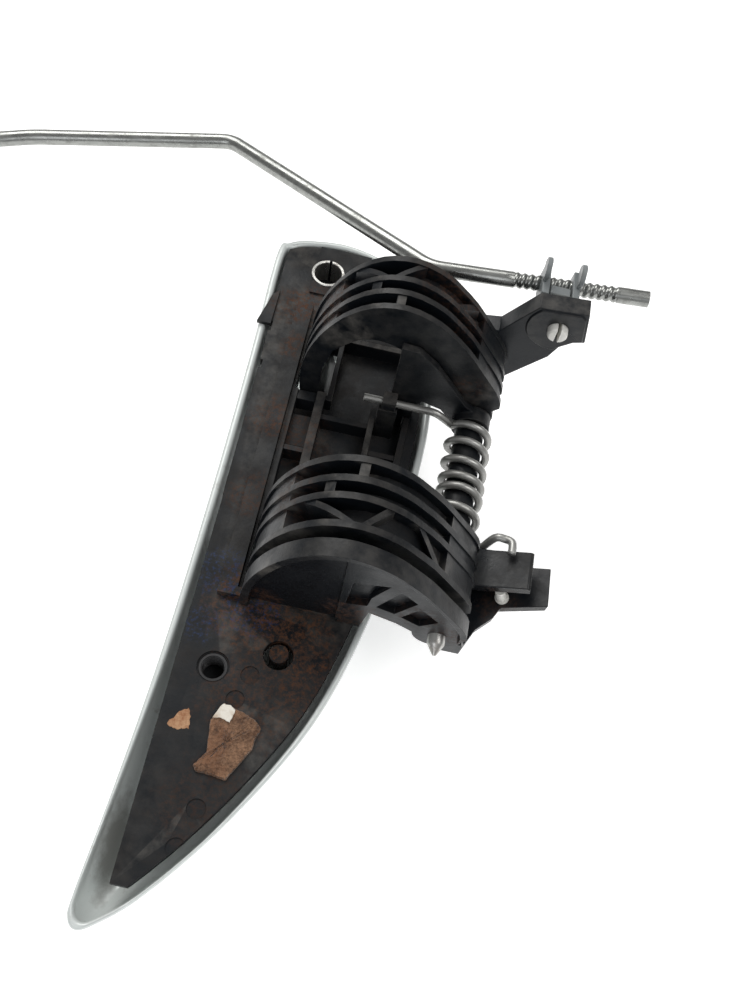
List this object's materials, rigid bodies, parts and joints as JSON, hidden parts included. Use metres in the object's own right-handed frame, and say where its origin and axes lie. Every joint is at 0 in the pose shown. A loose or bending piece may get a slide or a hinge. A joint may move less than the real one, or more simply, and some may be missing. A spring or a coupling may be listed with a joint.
{
  "type": "car door handle",
  "caption": "Flap-type outer car door handle: leaf-shaped painted cover, black ribbed gooseneck arms on a sprung hinge pin, and a threaded lock rod on a clip.",
  "frame": {"origin": "middle of the upper fixing sleeve, on the base plate's inner face", "axes": "+Z into the door along the fixing sleeve, +Y along the leaf to its wide end, +X to the hinge pin"},
  "size_m": [0.1937, 0.1988, 0.066],
  "materials": {
    "black_plastic": "semi-matt, dusty",
    "worn_plastic": "worn and dusty",
    "silver_paint": "pale silver paint",
    "spring_steel": "satin grey",
    "dark_steel": "dull, dark",
    "zinc_steel": "bright zinc plate",
    "pale_nylon": "satin",
    "grey_plastic": "satin",
    "brown_foam": "open foam",
    "cream_paper": "matt paper"
  },
  "bodies": {
    "housing": {"base_plate": "black_plastic", "base_tray": "worn_plastic", "upper_bracket": "black_plastic", "lower_bracket": "black_plastic", "closing_stop": "black_plastic", "stop_buffer": "pale_nylon", "outer_cover": "silver_paint", "mounting_sleeve": "spring_steel", "screw_insert": "dark_steel", "locating_peg": "black_plastic", "foam_pad": "brown_foam", "pad_backing": "cream_paper", "hinge_pin": "spring_steel", "spring_tube": "black_plastic", "torsion_spring": "spring_steel", "spring_clip": "worn_plastic"},
    "flap": {"flap_grip": "silver_paint", "upper_arm": "black_plastic", "lower_arm": "black_plastic", "rod_lever": "black_plastic", "spring_lug": "black_plastic", "arm_bushes": "pale_nylon", "flap_screws": "zinc_steel"},
    "rod": {"clip_stud": "pale_nylon", "rod_clip": "grey_plastic", "lock_rod": "zinc_steel"}
  },
  "joints": [
    {"name": "flap_pull", "type": "hinge", "parent": "housing", "child": "flap", "pos_m": [0.0436, -0.055, 0.004], "axis": [0, -1, 0], "range_deg": [0, 30], "stiffness_Nm_per_rad": 0.15, "springref_deg": -34.38, "deforming": ["torsion_spring"]},
    {"name": "rod_swivel", "type": "hinge", "parent": "flap", "child": "rod", "pos_m": [0.0582, -0.018, 0.024], "axis": [0, -1, 0], "range_deg": [-32, 2]}
  ],
  "couplings": [
    {"joint": "rod_swivel", "follows": "flap_pull", "ratio": -1}
  ]
}
